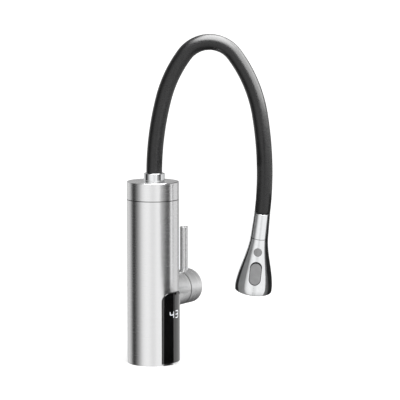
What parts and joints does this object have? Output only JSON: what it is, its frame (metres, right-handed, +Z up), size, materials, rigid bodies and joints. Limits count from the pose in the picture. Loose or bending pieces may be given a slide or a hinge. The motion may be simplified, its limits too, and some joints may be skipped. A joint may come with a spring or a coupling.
{
  "type": "electric heating kitchen faucet",
  "caption": "Steel column faucet with an instant heater and display inside, a side lever valve, and a black gooseneck hose that carries a chrome spray head with buttons.",
  "frame": {"origin": "middle of the foot on the counter, on the axis of the inlet thread", "axes": "+Z up along the column, the display looks along -Y, the valve and its lever stand out along +X"},
  "size_m": [0.1384, 0.145, 0.3801],
  "materials": {
    "brushed_steel": "brushed round the column",
    "chrome": "polished",
    "glossy_black_lens": "glossy black",
    "silicone_black": "satin silicone",
    "silicone_grey": "matt silicone",
    "liner_white": "extruded",
    "grey_button": "satin grey",
    "brass": "machined",
    "stainless": "drawn and turned",
    "black_plastic": "moulded",
    "ivory_plastic": "moulded",
    "grey_plastic": "moulded",
    "ceramic_white": "lapped ceramic",
    "board_green": "solder mask",
    "relay_blue": "moulded",
    "cutout_brown": "phenolic"
  },
  "bodies": {
    "column": {"base_plate": "black_plastic", "base_gasket": "silicone_black", "base_screws": "stainless", "inlet_socket": "brass", "cord_grommet": "silicone_black", "chassis": "ivory_plastic", "outer_shell": "brushed_steel", "flow_sensor_body": "ivory_plastic", "reed_switch": "board_green", "riser_pipe": "brass", "valve_body": "brass", "cartridge_seal": "silicone_black", "fixed_disc": "ceramic_white", "cartridge_body": "ivory_plastic", "cartridge_nut": "brass", "valve_housing": "brushed_steel", "crossover_pipe": "brass", "tank_shell": "stainless", "heating_element": "stainless", "tank_seal": "silicone_black", "tank_lid": "stainless", "tank_screws": "stainless", "temperature_probe": "brass", "thermal_cutout": "cutout_brown", "control_board": "board_green", "power_relay": "relay_blue", "terminal_block": "board_green", "display_frame": "black_plastic", "display_board": "board_green", "led_display": "black_plastic", "display_panel": "glossy_black_lens", "joining_ring": "black_plastic", "seam_seal": "silicone_black", "top_cap": "brushed_steel", "outlet_nipple": "brass", "swivel_clip": "stainless", "collar_nut": "chrome"},
    "float": {"flow_float": "grey_plastic"},
    "lever": {"moving_disc": "ceramic_white", "spindle": "brass", "lever_hub": "brushed_steel", "lever_rod": "brushed_steel", "grub_screw": "stainless"},
    "spout": {"spout_fitting": "brass", "swivel_seals": "silicone_black", "hose_sleeve": "silicone_black", "hose_core": "stainless", "hose_liner": "liner_white"},
    "neck": {"hose_end_fitting": "brass", "head_neck": "chrome"},
    "head": {"head_shell": "chrome", "head_core": "grey_plastic", "rocker_pin": "stainless", "nozzle_mat": "silicone_grey", "spray_plate": "stainless", "aerator": "grey_plastic", "button_spring": "stainless"},
    "rocker": {"mode_rocker": "grey_button"},
    "spool": {"diverter_spool": "ivory_plastic"},
    "pause": {"pause_button": "grey_button"}
  },
  "joints": [
    {"name": "spout_swivel", "type": "hinge", "parent": "column", "child": "spout", "pos_m": [0, -0.002, 0.2], "axis": [0, 0, 1], "continuous": true},
    {"name": "hose_flex", "type": "hinge", "parent": "spout", "child": "neck", "pos_m": [0.03547, -0.05458, 0.37092], "axis": [-0.829, -0.5592, 0], "range_deg": [0, 35], "deforming": ["hose_sleeve", "hose_core", "hose_liner"]},
    {"name": "head_turn", "type": "hinge", "parent": "neck", "child": "head", "pos_m": [0.08111, -0.09386, 0.1439], "axis": [0.089, 0.1883, -0.9781], "continuous": true},
    {"name": "mode_rocker", "type": "hinge", "parent": "head", "child": "rocker", "pos_m": [0.07397, -0.09305, 0.10212], "axis": [0.5477, -0.8294, -0.1098], "range_deg": [0, 8]},
    {"name": "diverter_slide", "type": "slide", "parent": "head", "child": "spool", "axis": [-0.089, -0.1883, 0.9781], "range_m": [0, 0.00097]},
    {"name": "pause_press", "type": "slide", "parent": "head", "child": "pause", "axis": [0.8329, 0.553, -0.0217], "range_m": [0, 0.0015], "stiffness_N_per_m": 500, "springref_m": -0.0003, "deforming": ["button_spring"]},
    {"name": "lever_turn", "type": "hinge", "parent": "column", "child": "lever", "pos_m": [0.0495, 0, 0.0805], "axis": [1, 0, 0], "range_deg": [-70, 70]},
    {"name": "float_lift", "type": "slide", "parent": "column", "child": "float", "axis": [0, 0, 1], "range_m": [0, 0.008]}
  ],
  "couplings": [
    {"joint": "mode_rocker", "follows": "diverter_slide", "rad_per_m": 142.97}
  ]
}
